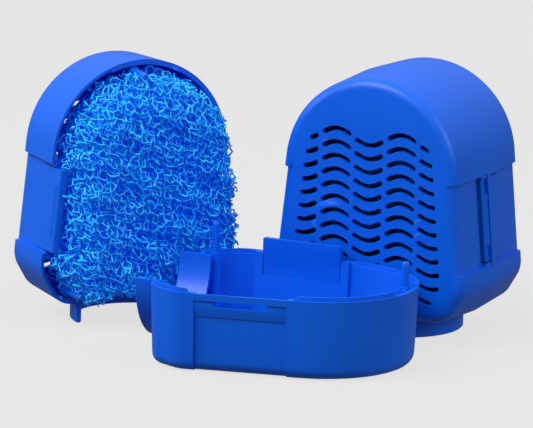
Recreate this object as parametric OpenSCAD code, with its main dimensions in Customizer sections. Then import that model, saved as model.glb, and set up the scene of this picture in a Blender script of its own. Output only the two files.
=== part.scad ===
// Pond sponge filter: two snap-together half shells of one moulding round a block of coarse foam.
// One filter stands closed on its collar. A second one stands opened, its other half laid down beside it.

/* [Outline] */
// Height from the collar's end to the top of the dome
height = 100; // [85:0.5:120]
// Radius of the dome at the parting plane
dome_radius = 36.8; // [32:0.1:44]
// Outward lean of each side, in degrees
side_flare = 5.8; // [3:0.1:7]
// Depth of one half, from the parting plane to the slotted face
half_depth = 29.5; // [25:0.5:36]
// Height of the floor of the shell above the collar's end
floor_height = 7.5; // [5:0.5:10]
// Height at which the side turns into the sloping corner
corner_height = 21; // [18:0.5:25]
// Slope of the lower corner from upright, in degrees
corner_slope = 30; // [26:1:34]
// Rounding between the side and the sloping corner
upper_corner_radius = 12; // [9:0.5:15]
// Rounding between the sloping corner and the floor
lower_corner_radius = 10; // [8.5:0.5:12]

/* [Wall] */
// Wall thickness of a half shell
wall = 2; // [1.6:0.1:2.4]
// Rounding between the wall and the slotted face
face_radius = 4; // [3.4:0.1:4.4]
// Depth of the side recess below the dome and skirt
recess_depth = 1.3; // [1.2:0.1:1.6]
// Height of the recess's lower ledge
recess_low = 28; // [26:0.5:32]
// Height of the recess's upper ledge
recess_high = 62.3; // [56:0.5:65]
// Height of the rim's inner lip
lip_height = 1.6; // [1:0.1:2.5]
// Gap between parts that slide into each other
clearance = 0.2; // [0.1:0.05:0.4]

/* [Collar] */
// Outer radius of the round collar under the shell
collar_radius = 25.8; // [20:0.1:27]
// Length of the collar, from its end up into the shell
collar_length = 12.5; // [10:0.5:14]

/* [Latch] */
// Reach of the snap tab past the rim
tab_reach = 5.6; // [5:0.1:7]
// Depth of the relief slits beside the tab, below the rim
slit_depth = 9; // [8:0.5:12]
// Width of each relief slit
slit_width = 1.5; // [1.2:0.1:2]
// Width of the rim band that the barb hooks under
band_width = 2.5; // [2:0.1:3]
// Height of the slot that the barb clicks into, along the depth
catch_slot = 2.2; // [1.8:0.1:2.8]
// Length of the slot that the barb clicks into
catch_length = 20; // [14:0.5:26]

/* [Pegs] */
// Radius of a locating peg
peg_radius = 1.4; // [1:0.1:1.8]
// Reach of the peg in the dome past the rim
top_peg_reach = 9.5; // [6:0.5:14]
// Reach of the peg beside the collar past the rim
base_peg_reach = 12; // [6:0.5:14]
// Distance of the top peg from the middle
top_peg_offset = 3.2; // [3:0.1:4]
// Distance of the base peg outside the collar
base_peg_gap = 3.7; // [3:0.1:4.5]

/* [Grille] */
// Width of a slot
slot_width = 1.9; // [1:0.1:2.2]
// Length of a full slot, across the face
slot_length = 12; // [8:0.1:12]
// Distance between slot columns
slot_spacing = 13.4; // [12.4:0.1:15]
// Distance between slot rows
row_spacing = 5.2; // [4.6:0.1:6]
// Number of slot rows
slot_rows = 12; // [4:1:12]
// Height of the middle line of the lowest row
first_row = 19.2; // [18:0.1:22]
// Half the height of the wave that the slots follow
wave_height = 2.65; // [1:0.05:3]
// Plain border between the slots and the outline
grille_border = 10; // [9:0.1:15]

/* [Foam] */
// Thickness of the foam block, from face to face
foam_depth = 44; // [30:0.5:48]
// Gap between the foam block and the shell's outline
foam_inset = 3; // [2.7:0.1:5]
// Gap round the foam block where it stands or lies on the shell
foam_gap = 0.3; // [0.2:0.05:0.5]

/* [Open filter] */
// Place of the opened filter's collar across and along
open_place = [-87.5, -46];
// Turn of the opened filter, in degrees
open_turn = 54; // [50:1:60]
// Place of the laid-down half's collar across and along
loose_place = [-63, -77];
// Turn of the laid-down half, in degrees
loose_turn = 8; // [4:1:10]

/* [Hidden] */
SETS = ["closed_front", "closed_rear", "open", "loose"];
$fn = 96;

shell_blue = "#0052c4";
foam_blue = "#1485ee";
over = 1;                                   // how far a cut runs past its surface
dome_middle = height - dome_radius;

// Directions: a normal points out of the outline, a run follows the outline downwards.
function normal_at(angle) = [cos(angle), sin(angle)];
function run_at(angle) = [sin(angle), -cos(angle)];
upper_turn = side_flare + corner_slope;
lower_turn = 90 - corner_slope;
side_top = [0, dome_middle] + dome_radius * normal_at(side_flare);
function side_at(level) = side_top + (side_top[1] - level) / cos(side_flare) * run_at(side_flare);
side_corner = side_at(corner_height);
slope_length = (corner_height - floor_height) / cos(corner_slope);
floor_corner = side_corner + slope_length * run_at(-corner_slope);
upper_trim = upper_corner_radius * tan(upper_turn / 2);
lower_trim = lower_corner_radius * tan(lower_turn / 2);
side_end = side_corner - upper_trim * run_at(side_flare);
upper_centre = side_end - upper_corner_radius * normal_at(side_flare);
slope_start = side_corner + upper_trim * run_at(-corner_slope);
slope_end = floor_corner - lower_trim * run_at(-corner_slope);
lower_centre = slope_end - lower_corner_radius * normal_at(-corner_slope);
floor_start = lower_centre - [0, lower_corner_radius];

// The latch's levels below the outline.
band_thickness = recess_depth - clearance;
skin_outside = 0.5;
tab_outside = -recess_depth;
tab_inside = -recess_depth - wall;
hinge_depth = slit_depth - wall / 2;
barb_height = recess_depth - 2 * clearance;
catch_end = tab_reach + 4 * clearance;      // where the solid block beyond the slot begins
block_depth = 1.2;
tab_low = recess_low + slit_width;
tab_high = recess_high - slit_width;
catch_middle = (recess_low + recess_high) / 2;
lip_thickness = wall / 2;
lip_gap_angle = 10;                         // plain rim on each side of the top

boss_radius = peg_radius + 0.9;
socket_radius = peg_radius + clearance / 2;
socket_extra = 1.2;                         // how much deeper a socket is than its peg
top_peg_level = height - wall - boss_radius - 0.5;
base_peg_offset = collar_radius + base_peg_gap;
base_peg_level = floor_height + wall + boss_radius + 0.7;

// ---- the outline, and what is measured along its sides ----

// The outline moved inwards by an amount, as points round it.
arc_step = 6;
function arc(centre, radius, from, to) =
    let (steps = ceil(abs(to - from) / arc_step))
    [for (i = [0:steps]) centre + radius * normal_at(from + (to - from) * i / steps)];
function right_outline(inset) = concat(
    arc(lower_centre, lower_corner_radius - inset, -90, -corner_slope),
    arc(upper_centre, upper_corner_radius - inset, -corner_slope, side_flare),
    arc([0, dome_middle], dome_radius - inset, side_flare, 90));
function outline(inset) =
    let (right = right_outline(inset))
    concat(right, [for (i = [len(right) - 2:-1:0]) [-right[i][0], right[i][1]]]);

// A block that follows the outline from one depth down to a rounded end.
round_steps = 3;
module rounded_block(inset, radius, from, to) {
    turns = [for (i = [0:round_steps]) 90 * i / round_steps];
    rings = concat([[from, inset]],
                   [for (t = turns) [to - radius + radius * sin(t), inset + radius * (1 - cos(t))]]);
    count = len(outline(inset));
    last = (len(rings) - 1) * count;
    polyhedron(
        points = [for (ring = rings) for (p = outline(ring[1])) [p[0], p[1], ring[0]]],
        faces = concat(
            [[for (i = [0:count - 1]) i]],
            [for (k = [0:len(rings) - 2]) for (i = [0:count - 1])
                [k * count + i, (k + 1) * count + i,
                 (k + 1) * count + (i + 1) % count, k * count + (i + 1) % count]],
            [[for (i = [count - 1:-1:0]) last + i]]));
}

// A strip along the right side, between two distances inside the outline and two heights.
module side_strip(out, in, high, low)
    polygon([side_at(high) - in * normal_at(side_flare), side_at(high) - out * normal_at(side_flare),
             side_at(low) - out * normal_at(side_flare), side_at(low) - in * normal_at(side_flare)]);
module side_bar(out, in, high, low, from, to)
    translate([0, 0, from]) linear_extrude(to - from) side_strip(out, in, high, low);

// Something square to the right side, drawn as X out of the outline and Y the depth below the rim.
module side_stretch(high, low)
    translate(side_at(high)) rotate([0, 0, side_flare]) rotate([90, 0, 0])
        linear_extrude((high - low) / cos(side_flare)) children();

// A strip of the right outline between two distances inside it, from the floor to near the top.
module lip_strip(out, in) {
    outer = right_outline(out);
    inner = right_outline(in);
    first = 1;
    last = len(outer) - 3;
    polygon(concat([for (i = [first:last]) outer[i]], [for (i = [last:-1:first]) inner[i]]));
}

ledge = 2;                                  // height of the thicker wall above and below a recess
bite = 0.5;                                 // how far a bar runs into what carries it
relief = 0.1;                               // a small step that keeps two surfaces from coinciding

// The bare half: a wall of one thickness, with a recess at each side, open where the grille goes.
module cup() {
    difference() {
        rounded_block(0, face_radius, 0, half_depth);
        for (side = [0, 1]) mirror([side, 0, 0])
            side_bar(-over, recess_depth, recess_high, recess_low, -over, half_depth + over);
        difference() {
            rounded_block(wall, face_radius - wall, -over, half_depth - wall);
            for (side = [0, 1]) mirror([side, 0, 0])
                side_bar(-over, recess_depth + wall, recess_high + ledge, recess_low - ledge,
                         -2 * over, half_depth + over);
        }
        translate([0, 0, half_depth - wall - over]) linear_extrude(wall + 2 * over) grille_outline();
    }
}

// The latch's bars, and the room that the other half's tab needs behind them.
module catch_bars() {
    side_bar(skin_outside, recess_depth + bite, recess_high + bite, recess_low - bite,
             0, catch_end + block_depth);
    side_bar(relief / 2, skin_outside + relief, recess_high + bite, recess_low - bite,
             0, band_width - relief);
}
module catch_room() {
    side_bar(band_thickness, recess_depth + wall + over, recess_high - relief, recess_low + relief,
             -over, catch_end);
    side_bar(-over, recess_depth + wall, catch_middle + catch_length / 2,
             catch_middle - catch_length / 2, band_width, band_width + catch_slot);
}

// Where the tab and its relief slits leave the wall.
module tab_room()
    side_bar(-over, recess_depth + wall + over, recess_high - relief, recess_low + relief,
             -over, slit_depth);

// The lip round the rim of one side, which enters the other half's groove.
module lip()
    translate([0, 0, -lip_height]) linear_extrude(lip_height + bite) difference() {
        lip_strip(wall - lip_thickness, wall - relief);
        side_strip(-over, recess_depth + wall + over, recess_high + ledge + clearance,
                   recess_low - ledge - clearance);
    }
module groove()
    translate([0, 0, -over]) linear_extrude(over + lip_height + clearance)
        lip_strip(wall - lip_thickness - clearance / 2, wall + over);

module boss(side, offset, level)
    translate([side * offset, level, 0]) cylinder(r = boss_radius, h = half_depth - wall - relief);

module socket(offset, level, reach)
    translate([offset, level, -over]) cylinder(r = socket_radius, h = reach + socket_extra + over);

// ---- the pieces of one half, face towards +Z and rim at Z = 0 ----

module half_shell() {
    difference() {
        union() {
            cup();
            catch_bars();
            lip();
        }
        catch_room();
        mirror([1, 0, 0]) {
            tab_room();
            groove();
        }
        translate([0, -over, 0]) rotate([-90, 0, 0])
            cylinder(r = collar_radius, h = collar_length + over);
    }
    for (side = [-1, 1]) difference() {
        union() {
            boss(side, top_peg_offset, top_peg_level);
            boss(side, base_peg_offset, base_peg_level);
        }
        socket(top_peg_offset, top_peg_level, top_peg_reach);
        socket(base_peg_offset, base_peg_level, base_peg_reach);
    }
}

// The part of the slotted face inside its rounded edge.
grille_rim = 0.5;                           // flat edge that the half shell keeps round the grille
module grille_outline() {
    inset = face_radius + grille_rim;
    difference() {
        polygon(outline(inset));
        for (side = [0, 1]) mirror([side, 0])
            side_strip(-over, inset + recess_depth, recess_high, recess_low);
    }
}

// One wavy slot: a stretch of a sine wave with round ends.
slot_steps = 5;
function wave(x, level) = level - wave_height * cos(180 * x / slot_spacing);
function wave_turn(x) = atan(wave_height * PI / slot_spacing * sin(180 * x / slot_spacing));
module wavy_slot(from, to, level) {
    xs = [for (i = [0:slot_steps]) from + (to - from) * i / slot_steps];
    function edge(x, turn) = [x, wave(x, level)] + slot_width / 2 * normal_at(wave_turn(x) + turn);
    polygon(concat(
        [for (x = xs) edge(x, -90)],
        [for (turn = [-45:45:45]) edge(to, turn)],
        [for (i = [slot_steps:-1:0]) edge(xs[i], 90)],
        [for (turn = [135:45:225]) edge(from, turn)]));
}

// Half width of the slotted area at a height.
function grille_half_width(level) =
    level > side_top[1]
        ? sqrt(max(0, pow(dome_radius - grille_border, 2) - pow(level - dome_middle, 2)))
        : level > corner_height + 2
            ? side_at(level)[0] - grille_border
            : side_at(corner_height)[0] - grille_border - (corner_height + 2 - level) * tan(corner_slope);

module grille_slots() {
    half_slot = (slot_length - slot_width) / 2;
    for (row = [0:slot_rows - 1], column = [-2:2]) {
        level = first_row + row * row_spacing;
        edge = grille_half_width(level - wave_height) - slot_width / 2;
        from = max(column * slot_spacing - half_slot, -edge);
        to = min(column * slot_spacing + half_slot, edge);
        if (to - from > slot_width) wavy_slot(from, to, level);
    }
}

module half_grille() {
    translate([0, 0, half_depth - wall]) linear_extrude(wall) difference() {
        grille_outline();
        grille_slots();
    }
}

module half_collar() {
    rotate([-90, 0, 0]) rotate([0, 0, 180]) rotate_extrude(angle = 180)
        translate([collar_radius - wall, 0]) square([wall, collar_length]);
}

module half_tab() {
    barb_half = catch_length / 2 - clearance;
    hook = band_width + clearance;          // the barb's catching face, below the rim of the other half
    barb_top = tab_outside + barb_height;
    mirror([1, 0, 0]) {
        side_stretch(tab_high, tab_low)
            translate([tab_inside, -tab_reach]) square([wall, tab_reach + hinge_depth]);
        side_stretch(tab_high, tab_low)
            translate([tab_outside - wall / 2, hinge_depth]) circle(r = wall / 2);
        side_stretch(catch_middle + barb_half, catch_middle - barb_half)
            polygon([[tab_outside - wall / 2, -hook], [barb_top, -hook],
                     [barb_top, -hook - 3 * clearance],
                     [tab_outside, -hook - catch_slot + 2 * clearance],
                     [tab_outside - wall / 2, -hook - catch_slot + 2 * clearance]]);
    }
}

module half_top_peg()
    translate([-top_peg_offset, top_peg_level, -top_peg_reach])
        cylinder(r = peg_radius, h = top_peg_reach);

module half_base_peg()
    translate([-base_peg_offset, base_peg_level, -base_peg_reach])
        cylinder(r = peg_radius, h = base_peg_reach);

recess_gap = 2;                             // room between the foam and the recessed wall

// The foam block, with its middle at Z = 0.
module foam_block() {
    difference() {
        translate([0, 0, -foam_depth / 2]) linear_extrude(foam_depth) difference() {
            intersection() {
                polygon(outline(foam_inset));
                translate([-height, floor_height + wall + foam_gap]) square(2 * height);
            }
            for (side = [0, 1]) mirror([side, 0])
                side_strip(-over, recess_depth + wall + recess_gap, recess_high + ledge + bite,
                           recess_low - ledge - bite);
        }
        for (side = [-1, 1]) {
            translate([side * top_peg_offset, top_peg_level, -foam_depth])
                cylinder(r = boss_radius + foam_gap, h = 2 * foam_depth);
            translate([side * base_peg_offset, base_peg_level, -foam_depth])
                cylinder(r = boss_radius + foam_gap, h = 2 * foam_depth);
        }
    }
}

// A channel under the foam block that lets it slide over the collar.
module collar_channel()
    translate([-collar_radius - foam_gap, 0, -foam_depth])
        cube([2 * (collar_radius + foam_gap), collar_length + foam_gap, 2 * foam_depth]);

// ---- where each half stands ----

module stand_front() rotate([90, 0, 0]) children();
module stand_rear() rotate([0, 0, 180]) stand_front() children();
module stand_open()
    translate(concat(open_place, 0)) rotate([0, 0, open_turn])
        stand_rear() mirror([1, 0, 0]) children();
module lie_loose()
    translate(concat(loose_place, half_depth)) rotate([0, 0, loose_turn])
        rotate([180, 0, 90]) mirror([1, 0, 0]) children();

module place(set) {
    if (set == "closed_front") stand_front() children();
    if (set == "closed_rear") stand_rear() children();
    if (set == "open") stand_open() children();
    if (set == "loose") lie_loose() children();
}

module shell(set) color(shell_blue) place(set) half_shell();
module grille(set) color(shell_blue) place(set) half_grille();
module collar(set) color(shell_blue) place(set) half_collar();
module tab(set) color(shell_blue) place(set) half_tab();
module top_peg(set) color(shell_blue) place(set) half_top_peg();
module base_peg(set) color(shell_blue) place(set) half_base_peg();

module closed_foam()
    color(foam_blue) stand_front() difference() {
        foam_block();
        collar_channel();
    }

module open_foam() {
    middle = half_depth - wall - foam_gap - foam_depth / 2;
    color(foam_blue) stand_open() difference() {
        translate([0, 0, middle]) foam_block();
        collar_channel();
    }
}

for (set = SETS) {
    shell(set);
    grille(set);
    collar(set);
    tab(set);
    top_peg(set);
    base_peg(set);
}
closed_foam();
open_foam();
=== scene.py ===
# %% [markdown]
# # A pond pump's sponge filter, twice: one closed, one opened
# The real filter is three things: two halves of one injection moulding and a block of coarse foam.
# Here one filter stands closed. The other is opened: its foam stands in its rear half, and its
# front half lies on the floor with its open side up. We model the moulding once and copy it.

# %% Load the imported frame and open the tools
import math

import bpy
import numpy as np
from mathutils import Matrix, Quaternion, Vector


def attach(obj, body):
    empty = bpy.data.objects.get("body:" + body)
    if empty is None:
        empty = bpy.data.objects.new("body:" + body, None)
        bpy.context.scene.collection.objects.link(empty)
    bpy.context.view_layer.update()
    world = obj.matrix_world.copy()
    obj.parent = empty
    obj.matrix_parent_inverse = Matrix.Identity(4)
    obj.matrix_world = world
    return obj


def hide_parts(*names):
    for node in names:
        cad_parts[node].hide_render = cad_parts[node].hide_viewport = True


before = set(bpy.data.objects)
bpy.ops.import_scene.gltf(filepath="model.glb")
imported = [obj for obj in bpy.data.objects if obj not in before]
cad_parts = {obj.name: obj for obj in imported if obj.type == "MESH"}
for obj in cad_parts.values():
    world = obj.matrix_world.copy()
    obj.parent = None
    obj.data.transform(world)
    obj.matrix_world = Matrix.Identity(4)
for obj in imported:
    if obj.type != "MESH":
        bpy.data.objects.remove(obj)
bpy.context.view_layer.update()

MM = 0.001                                  # the drawing is in millimetres, the scene in metres
bpy.ops.object.select_all(action="DESELECT")

# %% [markdown]
# ## The camera
# A long lens from far away keeps the halves' sides nearly parallel. It looks down by 12 degrees.

# %% Camera
VIEW_DIRECTION = Vector((-0.4281, 0.8794, -0.2083))
camera_data = bpy.data.cameras.new("camera")
camera_data.lens = 327
camera_data.clip_end = 20
camera = bpy.data.objects.new("camera", camera_data)
bpy.context.scene.collection.objects.link(camera)
camera.rotation_mode = "QUATERNION"
ROLL = Quaternion((0, 0, 1), math.radians(1.54))
camera.rotation_quaternion = VIEW_DIRECTION.to_track_quat("-Z", "Y") @ ROLL
camera.location = Vector((743.9, -1643.5, 425)) * MM
bpy.context.scene.camera = camera
bpy.context.scene.view_settings.view_transform = "Standard"

# %% [markdown]
# ## Sizes of the moulding
# Most of these repeat the part's own sizes, in millimetres. The draft and the lip's reach are the
# scene's own. One half is drawn with X across, Y up and Z as depth: its rim lies at Z = 0 and its
# slotted face at Z = HALF_DEPTH.

# %% Sizes
HEIGHT = 100.0
DOME_RADIUS = 36.8
DOME_MIDDLE = HEIGHT - DOME_RADIUS
SIDE_FLARE = 5.8
HALF_DEPTH = 29.5
FLOOR = 7.5
CORNER_HEIGHT = 21.0
CORNER_SLOPE = 30.0
UPPER_ROUND = 12.0
LOWER_ROUND = 10.0
WALL = 2.0
FACE_ROUND = 4.0
RECESS = 1.3
RECESS_LOW, RECESS_HIGH = 28.0, 62.3
LEDGE = 2.0
DRAFT = math.tan(math.radians(2.4))
LIP = 1.6
LIP_LOW, LIP_HIGH = 9.0, 97.0                # the lip runs between these heights
COLLAR_RADIUS, COLLAR_LENGTH = 25.8, 12.5
TAB_REACH, SLIT_DEPTH, SLIT_WIDTH = 5.6, 9.0, 1.5
BAND, CATCH_SLOT, CATCH_LENGTH = 2.5, 2.2, 20.0
PEG_RADIUS, TOP_PEG, BASE_PEG = 1.4, 9.5, 12.0
TOP_PEG_X, BASE_PEG_X = 3.2, COLLAR_RADIUS + 3.7
BOSS_RADIUS = PEG_RADIUS + 0.9
TOP_PEG_Y, BASE_PEG_Y = HEIGHT - WALL - BOSS_RADIUS - 0.5, FLOOR + WALL + BOSS_RADIUS + 0.7


def toward(angle):
    """A direction in the face's plane, in degrees from X."""
    turn = math.radians(angle)
    return np.array([math.cos(turn), math.sin(turn)])


OUT = toward(SIDE_FLARE)                    # straight out of the side
DOWN = np.array([OUT[1], -OUT[0]])          # down along the side
SIDE_TOP = np.array([0, DOME_MIDDLE]) + DOME_RADIUS * OUT


def side_at(level):
    return SIDE_TOP + (SIDE_TOP[1] - level) / math.cos(math.radians(SIDE_FLARE)) * DOWN


SLOPE_OUT = toward(-CORNER_SLOPE)
SLOPE_RUN = np.array([SLOPE_OUT[1], -SLOPE_OUT[0]])
side_corner = side_at(CORNER_HEIGHT)
slope_length = (CORNER_HEIGHT - FLOOR) / math.cos(math.radians(CORNER_SLOPE))
floor_corner = side_corner + slope_length * SLOPE_RUN
upper_trim = UPPER_ROUND * math.tan(math.radians((SIDE_FLARE + CORNER_SLOPE) / 2))
lower_trim = LOWER_ROUND * math.tan(math.radians((90 - CORNER_SLOPE) / 2))
upper_centre = side_corner - upper_trim * DOWN - UPPER_ROUND * OUT
lower_centre = floor_corner - lower_trim * SLOPE_RUN - LOWER_ROUND * SLOPE_OUT

# %% [markdown]
# ## The outline
# Every level of the moulding is the same closed outline, moved inwards a little. Each point knows
# its outward direction, so one function gives the outside, the inside, the draft and the recess.


# %% Outline
def right_points(ledge_shift):
    """(place, outward direction, share of the recess) up the right side."""
    points = []
    for a in np.linspace(-90, -CORNER_SLOPE, 11):
        points.append((lower_centre + LOWER_ROUND * toward(a), toward(a), 0))
    for a in np.linspace(-CORNER_SLOPE, SIDE_FLARE, 9):
        points.append((upper_centre + UPPER_ROUND * toward(a), toward(a), 0))
    low, high = side_at(RECESS_LOW - ledge_shift), side_at(RECESS_HIGH + ledge_shift)
    for place, share in ((low, 0), (low, 1), (high, 1), (high, 0)):
        points.append((place, OUT, share))
    for a in np.linspace(SIDE_FLARE, 90, 33):
        points.append((np.array([0, DOME_MIDDLE]) + DOME_RADIUS * toward(a), toward(a), 0))
    return points


def outline(inset, recess=0.0, ledge_shift=0.0):
    right = right_points(ledge_shift)
    place = np.array([p - (inset + share * recess) * n for p, n, share in right])
    left = place[-2::-1] * [-1, 1]
    return np.vstack([place, left])


COUNT = len(outline(0))
print("outline points", COUNT)

# %% [markdown]
# ## From rings to a closed cup
# A loft joins ring to ring. Going from the inside of the face, up the inner wall, over the rim
# and down the outer wall gives the whole cup, closed, in one mesh. The rim has a lip on one side
# and a groove on the other, so that two halves nest. We write the rings out ourselves, because
# the draft, the recess and the lip differ from point to point, which no single operator gives.
# Booleans and bevels do the rest.


# %% Loft helpers
def new_object(name, vertices, faces):
    mesh = bpy.data.meshes.new(name)
    mesh.from_pydata([tuple(v) for v in vertices], [], [tuple(f) for f in faces])
    mesh.update()
    obj = bpy.data.objects.new(name, mesh)
    bpy.context.scene.collection.objects.link(obj)
    return obj


def choose(obj):
    bpy.ops.object.select_all(action="DESELECT")
    obj.select_set(True)
    bpy.context.view_layer.objects.active = obj


def outwards(obj):
    """Merge what coincides and turn every face outwards."""
    choose(obj)
    bpy.ops.object.mode_set(mode="EDIT")
    bpy.ops.mesh.select_all(action="SELECT")
    bpy.ops.mesh.remove_doubles(threshold=1e-5)
    bpy.ops.mesh.normals_make_consistent(inside=False)
    bpy.ops.object.mode_set(mode="OBJECT")
    return obj


def loft(name, rings):
    """Join closed rings of the same number of points, with a face at each end."""
    n = len(rings[0])
    faces = [tuple(range(n)), tuple((len(rings) - 1) * n + i for i in range(n - 1, -1, -1))]
    for k in range(len(rings) - 1):
        for i in range(n):
            j = (i + 1) % n
            faces.append((k * n + i, (k + 1) * n + i, (k + 1) * n + j, k * n + j))
    return outwards(new_object(name, np.vstack(rings), faces))


def ring(inset, z, recess=0.0, ledge_shift=0.0):
    flat = outline(inset, recess, ledge_shift)
    return np.column_stack([flat, np.full(COUNT, 1.0) * z])


def cut(obj, tool, operation="DIFFERENCE"):
    modifier = obj.modifiers.new("cut", "BOOLEAN")
    modifier.object = tool
    modifier.operation = operation
    modifier.solver = "EXACT"
    choose(obj)
    bpy.ops.object.modifier_apply(modifier=modifier.name)
    bpy.data.objects.remove(tool)
    return obj


# %% The cup
ROUND_TURNS = np.radians(np.linspace(0, 90, 7))
INNER_STEP, OUTER_STEP = 6, 12               # extra rings that keep the long walls true


def cup():
    base = HALF_DEPTH - FACE_ROUND
    drafted = lambda inset, z: inset + DRAFT * max(z, 0)
    x, y = outline(0).T
    beside_recess = (y < RECESS_LOW - LEDGE - 0.5) | (y > RECESS_HIGH + LEDGE + 0.5)
    free = (y > LIP_LOW) & (y < LIP_HIGH) & beside_recess
    lip = np.where(free & (x > 0), -LIP, np.where(free & (x < 0), LIP, 0.0))
    inner_round = FACE_ROUND - WALL
    rings = []
    for t in ROUND_TURNS[::-1]:
        z = base + inner_round * math.sin(t)
        rings.append(ring(drafted(WALL, base) + inner_round * (1 - math.cos(t)), z, RECESS, LEDGE))
    rings.append(ring(drafted(WALL, INNER_STEP), INNER_STEP, RECESS, LEDGE))
    rings.append(ring(WALL, lip, RECESS, LEDGE))
    rings.append(ring(WALL / 2, lip, RECESS, LEDGE))
    rings.append(ring(WALL / 2 - 0.05, 0, RECESS, LEDGE / 2))
    rings.append(ring(0, 0, RECESS))
    rings.append(ring(drafted(0, OUTER_STEP), OUTER_STEP, RECESS))
    for t in ROUND_TURNS:
        z = base + FACE_ROUND * math.sin(t)
        rings.append(ring(drafted(0, base) + FACE_ROUND * (1 - math.cos(t)), z, RECESS))
    return loft("moulding", rings)


moulding = cup()
print("cup", len(moulding.data.polygons), "faces")

# %% [markdown]
# ## The wavy slots
# Each slot is a stretch of a sine wave with round ends, made as a small prism and cut through
# the face in one go.

# %% Slots
SLOT_WIDTH, SLOT_LENGTH, SLOT_SPACING, ROW_SPACING = 1.9, 12.0, 13.4, 5.2
SLOT_ROWS, FIRST_ROW, WAVE, GRILLE_BORDER = 12, 19.2, 2.65, 10.0


def wave(x, level):
    return np.array([x, level - WAVE * math.cos(math.pi * x / SLOT_SPACING)])


def wave_turn(x):
    steepest = WAVE * math.pi / SLOT_SPACING
    return math.degrees(math.atan(steepest * math.sin(math.pi * x / SLOT_SPACING)))


def slot_points(start, end, level):
    edge = lambda x, turn: wave(x, level) + SLOT_WIDTH / 2 * toward(wave_turn(x) + turn)
    run = np.linspace(start, end, 9)
    return ([edge(x, -90) for x in run]
            + [edge(end, turn) for turn in (-60, -30, 0, 30, 60)]
            + [edge(x, 90) for x in run[::-1]]
            + [edge(start, turn) for turn in (120, 150, 180, 210, 240)])


def grille_half_width(level):
    if level > SIDE_TOP[1]:
        return math.sqrt(max(0, (DOME_RADIUS - GRILLE_BORDER) ** 2 - (level - DOME_MIDDLE) ** 2))
    bend = CORNER_HEIGHT + 2
    if level > bend:
        return side_at(level)[0] - GRILLE_BORDER
    narrowing = (bend - level) * math.tan(math.radians(CORNER_SLOPE))
    return side_corner[0] - GRILLE_BORDER - narrowing


def prism(points, low, high):
    n = len(points)
    vertices = [(*p, low) for p in points] + [(*p, high) for p in points]
    faces = [tuple(range(n - 1, -1, -1)), tuple(range(n, 2 * n))]
    faces += [(i, (i + 1) % n, n + (i + 1) % n, n + i) for i in range(n)]
    return vertices, faces


def many(name, solids):
    vertices, faces = [], []
    for v, f in solids:
        faces += [tuple(i + len(vertices) for i in face) for face in f]
        vertices += v
    return outwards(new_object(name, vertices, faces))


slots = []
for row in range(SLOT_ROWS):
    level = FIRST_ROW + row * ROW_SPACING
    limit = grille_half_width(level - WAVE) - SLOT_WIDTH / 2
    for column in range(-2, 3):
        half = (SLOT_LENGTH - SLOT_WIDTH) / 2
        start = max(column * SLOT_SPACING - half, -limit)
        end = min(column * SLOT_SPACING + half, limit)
        if end - start > SLOT_WIDTH:
            slots.append(prism(slot_points(start, end, level),
                               HALF_DEPTH - 2 * WALL, HALF_DEPTH + 1))
cut(moulding, many("slots", slots))
print(len(slots), "slots cut")

# %% [markdown]
# ## The latch
# On one side a springy tab stands past the rim, free of the wall between two slits. Its barb
# clicks into a slot behind the band on the other half's rim. These pieces follow the leaning
# side, so they are drawn as a profile across the wall and stretched along it.


# %% Latch
def along_side(profile, low, high, left=False):
    """A prism with a profile of (out of the wall, depth), between two heights of a side."""
    n = len(profile)
    turn = -1 if left else 1
    vertices = []
    for level in (low, high):
        for out, depth in profile:
            x, y = side_at(level) + out * OUT
            vertices.append((turn * x, y, depth))
    faces = [tuple(range(n)), tuple(range(2 * n - 1, n - 1, -1))]
    faces += [(i, n + i, n + (i + 1) % n, (i + 1) % n) for i in range(n)]
    return vertices, faces


def box_profile(out, inside, top, bottom):
    return [(-inside, top), (-out, top), (-out, bottom), (-inside, bottom)]


def side_piece(name, profile, low, high, left=False):
    return many(name, [along_side(profile, low, high, left)])


CATCH_MIDDLE = (RECESS_LOW + RECESS_HIGH) / 2
catch_low, catch_high = CATCH_MIDDLE - CATCH_LENGTH / 2, CATCH_MIDDLE + CATCH_LENGTH / 2
BITE = 0.5                                  # how far added bars run into the recess's ends
NEAR_END = 0.1                              # cuts stop this far short of the recess's ends
TAB_OUT, TAB_IN = RECESS, RECESS + WALL
ramp = [(-2.0, 0.02), (-0.5, 0.02), (-0.5, 5.2), (-RECESS - 0.05, 8.6), (-2.0, 8.6)]
cut(moulding, side_piece("catch_bar", ramp, RECESS_LOW - BITE, RECESS_HIGH + BITE), "UNION")
cut(moulding, side_piece("rim_band", box_profile(0.04, 1.0, 0.01, BAND - 0.1),
                         RECESS_LOW - BITE, RECESS_HIGH + BITE), "UNION")
cut(moulding, side_piece("tab_space", box_profile(1.1, 4.5, -1, 6.4),
                         RECESS_LOW + NEAR_END, RECESS_HIGH - NEAR_END))
cut(moulding, side_piece("catch_slot", box_profile(-1, 3.9, BAND, BAND + CATCH_SLOT),
                         catch_low, catch_high))

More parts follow.
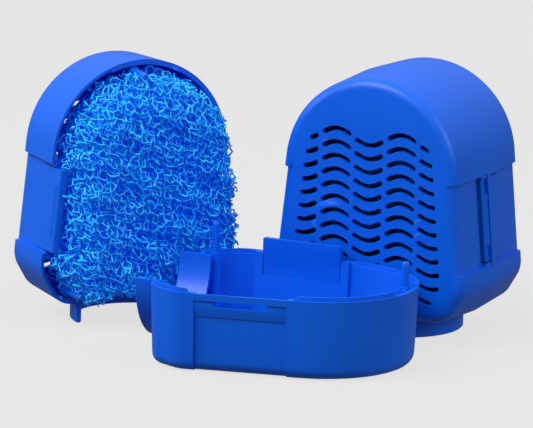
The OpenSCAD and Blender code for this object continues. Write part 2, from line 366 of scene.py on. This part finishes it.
TAB_LOW, TAB_HIGH = RECESS_LOW + SLIT_WIDTH, RECESS_HIGH - SLIT_WIDTH
SLIT_SEEN = 0.3
cut(moulding, side_piece("tab_room", box_profile(-1, 4.5, -1, SLIT_DEPTH),
                         TAB_LOW - SLIT_SEEN, TAB_HIGH + SLIT_SEEN, left=True))
TIP_EXTRA = 0.8                             # the tab is this much thicker inside, at its tip
tab_profile = [(-TAB_OUT, SLIT_DEPTH + 0.2), (-TAB_OUT, -TAB_REACH + 0.4),
               (-TAB_OUT - 0.4, -TAB_REACH), (-TAB_IN - TIP_EXTRA, -TAB_REACH),
               (-TAB_IN - TIP_EXTRA, -1.0), (-TAB_IN, 2.0), (-TAB_IN, SLIT_DEPTH + 0.2)]
tab = side_piece("tab", tab_profile, TAB_LOW, TAB_HIGH, left=True)
barb_profile = [(-TAB_OUT - 0.5, -BAND - 0.2), (-0.5, -BAND - 0.2), (-0.5, -3.3),
                (-TAB_OUT, -4.4), (-TAB_OUT - 0.5, -4.4)]
cut(tab, side_piece("barb", barb_profile, catch_low + 0.2, catch_high - 0.2, left=True), "UNION")

# %% [markdown]
# ## Collar, bosses and pegs
# The collar is half a ring: the two halves together grip the pump's inlet. Pegs on one side
# enter the bosses of the other half.


# %% Round features
def half_ring(inner, outer, low, high, chamfer, steps=40):
    profile = [(inner, low + chamfer), (inner + chamfer, low), (outer - chamfer, low),
               (outer, low + chamfer), (outer, high), (inner, high)]
    n = len(profile)
    vertices = []
    for a in np.linspace(0, math.pi, steps + 1):
        vertices += [(r * math.cos(a), y, r * math.sin(a)) for r, y in profile]
    faces = [tuple(range(n)), tuple(steps * n + i for i in range(n - 1, -1, -1))]
    for k in range(steps):
        for i in range(n):
            j = (i + 1) % n
            faces.append((k * n + i, (k + 1) * n + i, (k + 1) * n + j, k * n + j))
    return vertices, faces


def rod(x, y, profile, steps=24):
    """A turned solid along Z; the profile is (radius, z) from end to end."""
    vertices, faces = [], []
    for r, z in profile:
        for a in np.linspace(0, 2 * math.pi, steps, endpoint=False):
            vertices.append((x + r * math.cos(a), y + r * math.sin(a), z))
    faces = [tuple(range(steps)), tuple(len(vertices) - 1 - i for i in range(steps))]
    for k in range(len(profile) - 1):
        for i in range(steps):
            j = (i + 1) % steps
            faces.append((k * steps + i, (k + 1) * steps + i, (k + 1) * steps + j, k * steps + j))
    return vertices, faces


HOLE_RADIUS = COLLAR_RADIUS - WALL / 2        # the collar's wall covers the hole's edge
middle_hole = [(HOLE_RADIUS * math.cos(a), HOLE_RADIUS * math.sin(a))
               for a in np.linspace(0, 2 * math.pi, 80, endpoint=False)]
hole_vertices, hole_faces = prism(middle_hole, -1, FLOOR + WALL + 2)
hole_vertices = [(x, z, y) for x, y, z in hole_vertices]
cut(moulding, many("floor_hole", [(hole_vertices, hole_faces)]))
collar = half_ring(COLLAR_RADIUS - WALL, COLLAR_RADIUS, 0, COLLAR_LENGTH, 0.4)
cut(moulding, many("collar", [collar]), "UNION")

PEG_PLACES = ((TOP_PEG_X, TOP_PEG_Y, TOP_PEG), (BASE_PEG_X, BASE_PEG_Y, BASE_PEG))
SOCKET_RADIUS = PEG_RADIUS + 0.1
boss_top = HALF_DEPTH - WALL + 0.3
bosses = [rod(side * x, y, [(BOSS_RADIUS, 0.05), (BOSS_RADIUS, boss_top)])
          for side in (-1, 1) for x, y, reach in PEG_PLACES]
cut(moulding, many("bosses", bosses), "UNION")
sockets = [rod(x, y, [(SOCKET_RADIUS, -1), (SOCKET_RADIUS, reach + 1.2)])
           for x, y, reach in PEG_PLACES]
cut(moulding, many("sockets", sockets))
pegs = [rod(-x, y, [(PEG_RADIUS - 0.5, -reach), (PEG_RADIUS - 0.1, -reach + 0.5),
                    (PEG_RADIUS, -reach + 1.5), (PEG_RADIUS, 0.6)])
        for x, y, reach in PEG_PLACES]
cut(moulding, many("pegs", pegs), "UNION")
print("moulding", len(moulding.data.polygons), "faces")


# %% The closed filter's catch
# It is a longer window, with a ramp that dips down to it. Only the scene has this: the part's
# four halves share one catch.
choose(moulding)
bpy.ops.object.duplicate()
closed_moulding = bpy.context.object
WINDOW_END, RAMP_START = 7.7, 15.5
ramp_cut = [(-1.0, RAMP_START + 1), (-RECESS - 0.25, RAMP_START),
            (-RECESS - 0.8, WINDOW_END + 2), (-RECESS - 1.4, WINDOW_END - 1),
            (1, WINDOW_END - 1), (1, RAMP_START + 1)]
cut(closed_moulding, side_piece("ramp", ramp_cut, RECESS_LOW + 0.3, RECESS_HIGH - 0.3))
cut(closed_moulding, side_piece("window", box_profile(-1, 3.9, BAND, WINDOW_END),
                                RECESS_LOW + 1.2, RECESS_HIGH - 1.2))


# %% Soften the edges
def soften(obj, width):
    modifier = obj.modifiers.new("soft edges", "BEVEL")
    modifier.width = width
    modifier.segments = 2
    modifier.limit_method = "ANGLE"
    modifier.angle_limit = math.radians(40)
    choose(obj)
    bpy.ops.object.modifier_apply(modifier=modifier.name)
    outwards(obj)


for piece, width in ((moulding, 0.25), (closed_moulding, 0.25), (tab, 0.2)):
    soften(piece, width)
print("softened", len(moulding.data.polygons), "faces")

# %% [markdown]
# ## Four halves from one
# The closed filter's halves are plain turns of the drawing, with the closed catch. The opened
# filter's halves are its mirror image, because their latches sit the other way round.

# %% Place the halves
OPEN_PLACE, OPEN_TURN = Vector((-87.5, -46, 0)), 54
LOOSE_PLACE, LOOSE_TURN = Vector((-63, -77, HALF_DEPTH)), 8


def basis(x_row, y_row, z_row):
    return Matrix((x_row, y_row, z_row)).to_4x4()


def standing(place, turn, rows):
    return (Matrix.Scale(MM, 4) @ Matrix.Translation(place)
            @ Matrix.Rotation(math.radians(turn), 4, "Z") @ basis(*rows))


ORIGIN = Vector((0, 0, 0))
PLACES = {
    "closed_front": standing(ORIGIN, 0, ((1, 0, 0), (0, 0, -1), (0, 1, 0))),
    "closed_rear": standing(ORIGIN, 0, ((-1, 0, 0), (0, 0, 1), (0, 1, 0))),
    "open": standing(OPEN_PLACE, OPEN_TURN, ((1, 0, 0), (0, 0, 1), (0, 1, 0))),
    "loose": standing(LOOSE_PLACE, LOOSE_TURN, ((0, 1, 0), (-1, 0, 0), (0, 0, -1))),
}
BODIES = {"closed_front": ("base", "front_tab"), "closed_rear": ("rear_half", "rear_tab"),
          "open": ("open_half", "open_half_tab"), "loose": ("loose_half", "loose_half_tab")}
SKIN = ("shell", "grille", "collar", "top_peg", "base_peg")


def placed_copy(source, name, matrix):
    mesh = source.data.copy()
    mesh.transform(matrix)
    if matrix.determinant() < 0:
        mesh.flip_normals()
    mesh.name = name
    obj = bpy.data.objects.new(name, mesh)
    bpy.context.scene.collection.objects.link(obj)
    choose(obj)
    bpy.ops.object.shade_smooth_by_angle(angle=math.radians(35))
    return obj


halves, tabs = [], []
for set_name, matrix in PLACES.items():
    source = closed_moulding if set_name.startswith("closed") else moulding
    half = placed_copy(source, set_name + "_moulding", matrix)
    half_tab = placed_copy(tab, set_name + "_snap_tab", matrix)
    body, tab_body = BODIES[set_name]
    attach(half, body)
    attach(half_tab, tab_body)
    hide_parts(*[set_name + "_" + part for part in SKIN])
    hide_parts(set_name + "_tab")
    halves.append(half)
    tabs.append(half_tab)
for source in (moulding, closed_moulding, tab):
    bpy.data.objects.remove(source)
print("placed", [o.name for o in halves])

# %% [markdown]
# ## The foam
# Coarse filter foam is a net: the edges of packed bubbles, with the bubbles' skins gone. Packed
# bubbles come close to a stack of truncated octahedra, whose corners each join four strands.
# We build that net from whole numbers, shake it, and give every strand a three-sided tube.

# %% Foam net
FOAM_DEPTH, FOAM_INSET, FOAM_GAP = 44.0, 3.0, 0.3
# SHADE_DEPTH is how deep into the net the strands' painted shade reaches its darkest.
SOFT_EDGE, SHADE_DEPTH = 9.0, 8.0
CORNER_SHAKE, DEPTH_SHAKE = 0.095, 0.35
BLOCK_REACH, BLOCK_MIDDLE = 78, 52.0         # a cube of lattice that holds the whole block
OPEN_FOAM_MIDDLE = HALF_DEPTH - WALL - FOAM_GAP - FOAM_DEPTH / 2
STEPS = np.array([(a, b, c) for a in (-1, 0, 1) for b in (-1, 0, 1) for c in (-1, 0, 1)
                  if abs(a) + abs(b) + abs(c) == 2])
OPPOSITE = np.array([int(np.where((STEPS == -s).all(axis=1))[0][0]) for s in STEPS])
LATTICE_TURN = np.array((Matrix.Rotation(0.5, 3, "X") @ Matrix.Rotation(0.35, 3, "Y")
                         @ Matrix.Rotation(0.6, 3, "Z")))


def is_corner(ijk):
    """A corner of the stacked bubbles has one odd number, and evens that make 2 in fours."""
    odd = ijk % 2 == 1
    return (odd.sum(axis=-1) == 1) & (np.where(odd, 0, ijk).sum(axis=-1) % 4 == 2)


def depth_inside(points, middle, noise):
    """How deep a point lies in the foam block, with rounded, uneven edges."""
    edge = outline(FOAM_INSET + 1)
    edge[:, 1] = np.maximum(edge[:, 1], FLOOR + WALL + FOAM_GAP)
    following = np.roll(edge, -1, axis=0)
    run = following - edge
    length = np.linalg.norm(run, axis=1)
    keep = length > 1e-6
    normal = np.column_stack([run[keep, 1], -run[keep, 0]]) / length[keep, None]
    flat = -np.max(points[:, :2] @ normal.T - (edge[keep] * normal).sum(axis=1), axis=1)
    deep = FOAM_DEPTH / 2 - np.abs(points[:, 2] - middle)
    rounded = SOFT_EDGE - np.hypot(np.maximum(SOFT_EDGE - flat, 0),
                                   np.maximum(SOFT_EDGE - deep, 0))
    return np.minimum(np.minimum(flat, deep), rounded) + noise


def foam_net(cell, middle, layer, thickness, seed, lowest, highest, lean):
    """Corner places, their strands and their sizes for the outer layer of a block."""
    rng = np.random.default_rng(seed)
    unit = cell / 4
    reach = int(BLOCK_REACH / unit)
    grid = np.stack(np.meshgrid(*[np.arange(-reach, reach)] * 3, indexing="ij"), axis=-1)
    corner = is_corner(grid)
    ijk = grid[corner]
    centre = np.array([0, BLOCK_MIDDLE, middle])
    places = ijk * unit @ LATTICE_TURN.T + centre
    near = ((np.abs(places[:, 0]) < 46) & (places[:, 1] > 4) & (places[:, 1] < 102)
            & (places[:, 2] > lowest - 4) & (places[:, 2] < highest + 4))
    ijk, places = ijk[near], places[near]
    number = np.full(grid.shape[:3], -1)
    shifted = ijk + reach
    number[shifted[:, 0], shifted[:, 1], shifted[:, 2]] = np.arange(len(ijk))
    places = places + rng.normal(0, CORNER_SHAKE * cell, places.shape)
    x, y, z = places.T
    waves = 0.9 * np.sin(x / 2.9 + 1) * np.sin(y / 3.3) + 0.7 * np.sin(y / 2.2 + z / 2.7 + x / 5)
    depth = depth_inside(places, middle, waves + rng.normal(0, DEPTH_SHAKE, len(places)))
    kept = (depth > 0) & (depth < layer) & (z > lowest) & (z < highest)
    links = is_corner(ijk[:, None, :] + STEPS[None])
    chosen = np.argsort(~links, axis=1, kind="stable")[:, :4]
    target = np.clip(shifted[:, None, :] + STEPS[chosen], 0, 2 * reach - 1)
    neighbour = number[target[..., 0], target[..., 1], target[..., 2]]
    joined = (neighbour >= 0) & kept[neighbour] & kept[:, None]
    kept &= joined.sum(axis=1) > 0
    joined &= kept[neighbour] & kept[:, None]
    size = thickness * rng.uniform(0.8, 1.25, len(places))
    slump = np.clip(-places[:, 2] / (FOAM_DEPTH / 2), 0, 1)[:, None] ** 2
    places = places + slump * np.array(lean)
    return places, kept, chosen, neighbour, joined, size, depth


def foam_mesh(name, net):
    """Three-sided tubes along the strands, which meet in a small tetrahedron at each corner."""
    places, kept, chosen, neighbour, joined, size, depth = net
    index = np.full(len(places), -1)
    index[kept] = np.arange(kept.sum())
    ideal = STEPS[chosen] @ LATTICE_TURN.T
    toward_next = np.where(joined[..., None], places[neighbour] - places[:, None], ideal)[kept]
    toward_next /= np.linalg.norm(toward_next, axis=2, keepdims=True)
    corners = places[kept][:, None] - size[kept][:, None, None] * toward_next
    n = len(corners)
    vertices = corners.reshape(-1, 3)
    others = np.array([[1, 2, 3], [0, 2, 3], [0, 1, 3], [0, 1, 2]])
    triangle = np.broadcast_to(others, (n, 4, 3)).copy()
    a, b, c = (np.take_along_axis(corners, triangle[:, :, k, None].repeat(3, 2), 1)
               for k in range(3))
    facing = (np.cross(b - a, c - a) * toward_next).sum(axis=2) < 0
    triangle[facing] = triangle[facing][:, [0, 2, 1]]
    triangle = triangle + 4 * np.arange(n)[:, None, None]
    joined_kept, chosen_kept, next_kept = joined[kept], chosen[kept], index[neighbour[kept]]
    caps = triangle[~joined_kept]
    here, slot_here = np.nonzero(joined_kept)
    there = next_kept[here, slot_here]
    first = here < there
    here, slot_here, there = here[first], slot_here[first], there[first]
    back = OPPOSITE[chosen_kept[here, slot_here]]
    slot_there = np.argmax(chosen_kept[there] == back[:, None], axis=1)
    start = triangle[here, slot_here]
    end = triangle[there, slot_there][:, ::-1]
    twists = [np.linalg.norm(vertices[start] - vertices[np.roll(end, -turn, axis=1)], axis=2)
              .sum(axis=1) for turn in range(3)]
    best = np.argmin(twists, axis=0)
    end = np.take_along_axis(end, (np.arange(3)[None] + best[:, None]) % 3, axis=1)
    following = [1, 2, 0]
    quads = np.stack([start, start[:, following], end[:, following], end], axis=2).reshape(-1, 4)
    obj = new_object(name, vertices, caps.tolist() + quads.tolist())
    # Painted shade: each corner's depth into the net, 0 at the surface and 1 deep down, which the
    # foam's finish turns into a darker blue.
    shade = np.repeat(np.clip(depth[kept] / SHADE_DEPTH, 0, 1), 4)
    layer = obj.data.attributes.new("depth", "FLOAT", "POINT")
    layer.data.foreach_set("value", shade.astype(np.float32))
    obj.data.shade_smooth()
    print(name, len(obj.data.polygons), "faces,", len(here), "strands")
    return obj


# %% [markdown]
# The opened filter's foam shows its front and the sides that stand past the rim. Only an outer
# layer is made as a net, over a plain core, because the eye can't see deeper. The closed filter's
# foam shows through the slots, so its net is coarser and thinner, and goes all round. The nets
# are written out as meshes, because their strands follow a lattice that no operator lays out.

# %% Foam blocks
CORE_SHARE = 0.85                           # the core starts this far into the net's layer
CORE_ROUND, CORE_WAIST = 2.5, (0, 50)       # the core's ends narrow towards this point


def foam_core(name, middle, inset, matrix):
    """The plain inside of a foam block, behind the net."""
    half = FOAM_DEPTH / 2 - inset
    edge = outline(FOAM_INSET + inset)
    edge[:, 1] = np.maximum(edge[:, 1], FLOOR + WALL + FOAM_GAP + 3 + inset * 0.3)
    rings = []
    for shrink, z in ((0.9, -half), (1, -half + CORE_ROUND), (1, half - CORE_ROUND), (0.9, half)):
        flat = (edge - CORE_WAIST) * shrink + CORE_WAIST
        rings.append(np.column_stack([flat, np.full(COUNT, middle + z)]))
    core = loft(name, rings)
    placed = placed_copy(core, name + "_piece", matrix)
    bpy.data.objects.remove(core)
    return placed


def foam_block(name, matrix, body, node, middle, layer, **net_settings):
    """One block's net and core, on one body, in place of one solid."""
    net = foam_mesh(name, foam_net(middle=middle, layer=layer, **net_settings))
    net.data.transform(matrix)
    if matrix.determinant() < 0:
        net.data.flip_normals()
    core = foam_core(name + "_core", middle, layer * CORE_SHARE, matrix)
    for piece in (net, core):
        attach(piece, body)
    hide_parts(node)
    return net, core


open_net, open_core = foam_block(
    "open_foam_net", PLACES["open"], "base", "open_foam", middle=OPEN_FOAM_MIDDLE,
    cell=4.3, layer=9.0, thickness=0.44, seed=7, lowest=-30, highest=6, lean=(5.0, -8.0, 0))
closed_net, closed_core = foam_block(
    "closed_foam_net", PLACES["closed_front"], "foam_block", "closed_foam", middle=0.0,
    cell=4.6, layer=4.5, thickness=0.36, seed=8, lowest=-30, highest=30, lean=(0, 0, 0))

# %% [markdown]
# ## Materials
# Node trees read like sums here: one small class wraps a socket, so `0.33 + 0.1 * cloud` adds
# its Math nodes. Any other node comes from one method, with settings first and sockets after.


# %% Node shorthand
class Wire:
    """A shader socket that can be added and multiplied."""

    def __init__(self, tree, socket):
        self.tree, self.socket = tree, socket

    def math(self, operation, *values):
        node = self.tree.nodes.new("ShaderNodeMath")
        node.operation = operation
        for slot, value in zip(node.inputs, values):
            self.plug(slot, value)
        return Wire(self.tree, node.outputs[0])

    def plug(self, slot, value):
        if isinstance(value, Wire):
            self.tree.links.new(value.socket, slot)
        else:
            slot.default_value = value

    def __add__(self, other): return self.math("ADD", self, other)
    def __mul__(self, other): return self.math("MULTIPLY", self, other)
    __radd__, __rmul__ = __add__, __mul__


class Finish:
    """A material whose nodes are added by type, with settings first and sockets after."""

    def __init__(self, name):
        self.material = bpy.data.materials.new(name)
        self.material.use_nodes = True
        self.tree = self.material.node_tree
        self.shader = self.tree.nodes["Principled BSDF"]

    def node(self, kind, settings=None, output=0, **sockets):
        node = self.tree.nodes.new("ShaderNode" + kind)
        for key, value in (settings or {}).items():
            setattr(node, key, value)
        wire = Wire(self.tree, node.outputs[output])
        for key, value in sockets.items():
            wire.plug(node.inputs[key.replace("_", " ")], value)
        return wire

    def mix(self, factor, a, b):
        node = self.tree.nodes.new("ShaderNodeMix")
        node.data_type = "RGBA"
        wire = Wire(self.tree, node.outputs[2])
        for slot, value in ((0, factor), (6, a), (7, b)):
            wire.plug(node.inputs[slot], value)
        return wire

    def set(self, **sockets):
        for key, value in sockets.items():
            Wire(self.tree, None).plug(self.shader.inputs[key.replace("_", " ")], value)

    def wear(self, *objects):
        for obj in objects:
            obj.data.materials.clear()
            obj.data.materials.append(self.material)


# %% [markdown]
# The shell is satin blue plastic: nearly one colour, with faint clouding, and a fine grain from
# the mould that breaks its highlights up.

# %% Shell plastic
plastic = Finish("satin blue plastic")
where = plastic.node("TexCoord", output=3)
cloud = plastic.node("TexNoise", Vector=where, Scale=35.0, Detail=3.0)
grain = plastic.node("TexNoise", Vector=where, Scale=2600.0, Detail=2.0)
plastic.set(
    Base_Color=plastic.mix(cloud, (0.0, 0.1, 0.68, 1), (0.0, 0.12, 0.78, 1)),
    Roughness=0.33 + 0.1 * cloud,
    Specular_IOR_Level=0.32,
    Normal=plastic.node("Bump", Height=grain, Strength=0.06, Distance=0.0002),
)
plastic.wear(*halves, *tabs)

# %% [markdown]
# The foam's strands are a lighter, glossier blue. Deep in the net they are painted a darker blue,
# as painted shade, from the "depth" value on each corner. A faint painted glow stands for light
# that passes through the strands. The closed filter's foam has no glow, and its colours are
# painted darker all over, as painted shade for the shell around it. The open foam's core is
# painted darker still.

# %% Foam finish
# Painted light: a faint emission that stands for light passing through the strands, so that the
# open foam's net and core glow though they are no lamp.
PAINTED_GLOW = {"Emission_Color": (0.0, 0.07, 1.0, 1), "Emission_Strength": 0.12}
foam_finish = Finish("coarse blue foam")
# Painted shade: the deeper a strand lies in the net, the more its blue is mixed towards a darker
# blue.
deep = foam_finish.node("Attribute", {"attribute_name": "depth"}, output=2)
patch = foam_finish.node("TexNoise", Vector=foam_finish.node("TexCoord", output=3), Scale=60.0)
strand = foam_finish.mix(patch, (0.0, 0.42, 1.0, 1), (0.03, 0.58, 1.0, 1))
foam_finish.set(Base_Color=foam_finish.mix(deep, strand, (0.0, 0.3, 1.0, 1)),
                Roughness=0.28 + 0.1 * patch, Specular_IOR_Level=0.35, **PAINTED_GLOW)
foam_finish.wear(open_net)

# Painted shade: the core's blues are darker than the strands', standing for the shade of the
# foam's inside, with a noise mottle between two dark blues.
core_finish = Finish("foam core")
shade = core_finish.node("TexNoise", Vector=core_finish.node("TexCoord", output=3),
                         Scale=420.0, Detail=2.0)
core_finish.set(Base_Color=core_finish.mix(shade, (0.0, 0.16, 0.9, 1), (0.0, 0.3, 1.0, 1)),
                Roughness=0.9, **PAINTED_GLOW)
core_finish.wear(open_core)

# Painted shade: the closed filter's foam takes the same blues scaled darker, the net by 0.7 and
# the core by 0.25, for the shade inside the closed shell.
for label, seen, painted_shade in (("closed foam net in painted shade", closed_net, 0.7),
                          ("closed foam core in painted shade", closed_core, 0.25)):
    shaded = Finish(label)
    tint = shaded.node("TexNoise", Vector=shaded.node("TexCoord", output=3), Scale=90.0)
    shaded.set(Base_Color=shaded.mix(tint, (0.0, 0.2 * painted_shade, 0.9 * painted_shade, 1),
                                     (0.0, 0.4 * painted_shade, painted_shade, 1)), Roughness=0.6)
    shaded.wear(seen)

# %% [markdown]
# ## Studio
# A pale floor with almost no shadow, a broad soft light from above and in front, and two weaker
# lights from the sides. The surroundings darken downwards, so that sides read darker than tops.


# %% Floor and lights
def area_light(name, place, target, size, power):
    data = bpy.data.lights.new(name, "AREA")
    data.shape = "DISK"
    data.size = size
    data.energy = power
    light = bpy.data.objects.new(name, data)
    bpy.context.scene.collection.objects.link(light)
    light.location = place
    light.rotation_euler = (Vector(target) - Vector(place)).to_track_quat("-Z", "Y").to_euler()


bpy.ops.mesh.primitive_plane_add(size=12, location=(0, 2.0, -0.0004))
floor = bpy.context.object
floor.name = "floor"
floor_finish = Finish("pale floor")
floor_finish.set(Base_Color=(0.06, 0.06, 0.06, 1), Roughness=1.0, Specular_IOR_Level=0.0,
                 Emission_Color=(0.715, 0.715, 0.715, 1), Emission_Strength=1.0)
floor_finish.wear(floor)
floor.visible_diffuse = False
floor.visible_glossy = False

world = bpy.data.worlds.new("studio")
world.use_nodes = True
sky = world.node_tree
heading = sky.nodes.new("ShaderNodeTexCoord")
split = sky.nodes.new("ShaderNodeSeparateXYZ")
grade = sky.nodes.new("ShaderNodeValToRGB")
for stop, position, grey in zip(grade.color_ramp.elements, (0.0, 0.8), (0.16, 0.85)):
    stop.position = position
    stop.color = (grey, grey, grey, 1)
sky.links.new(heading.outputs[0], split.inputs[0])
sky.links.new(split.outputs[2], grade.inputs[0])
sky.links.new(grade.outputs[0], sky.nodes["Background"].inputs[0])
bpy.context.scene.world = world

MIDDLE = (-0.03, -0.02, 0.05)
area_light("key", (-0.5, -0.9, 1.3), MIDDLE, 0.9, 20)
area_light("side", (1.2, -0.1, 0.7), MIDDLE, 0.7, 5)
area_light("left fill", (-1.3, -0.6, 0.5), MIDDLE, 0.8, 5)
